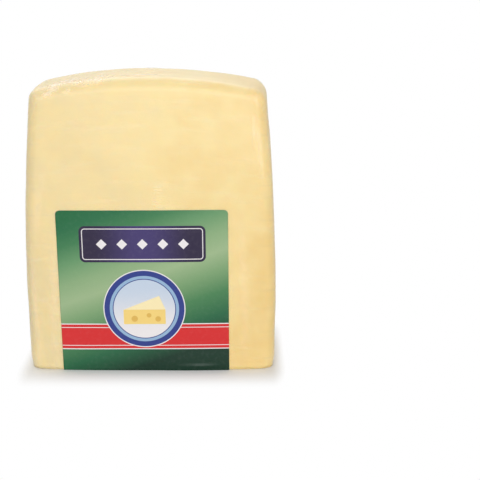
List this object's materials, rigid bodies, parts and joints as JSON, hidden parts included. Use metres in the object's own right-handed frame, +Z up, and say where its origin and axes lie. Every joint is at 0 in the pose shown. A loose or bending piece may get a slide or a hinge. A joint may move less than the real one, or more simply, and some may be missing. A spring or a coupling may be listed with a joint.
{
  "type": "cheddar block",
  "caption": "Half loaf of pale cheddar in tight clear film, standing on its flat cut face, with an arched moulded end and a printed label on the front.",
  "frame": {"origin": "middle of the flat cut face that it stands on, under the middle of the whole part's box", "axes": "+Z up, +Y from the labelled front towards the back, +X to the right seen from the front"},
  "size_m": [0.1504, 0.0652, 0.1765],
  "materials": {
    "cheese": "smooth, close, faintly mottled cream-yellow cheese, slightly translucent",
    "film": "thin clear glossy film, shrunk tight, with fine creases at the moulded end and a lap at the back",
    "label": "glossy coated print: a green ground with a pale sheen, a round badge, a red band and a dark blue plaque, with no lettering"
  },
  "bodies": {
    "root": {"cheese_block": "cheese", "label": "label"}
  },
  "joints": []
}
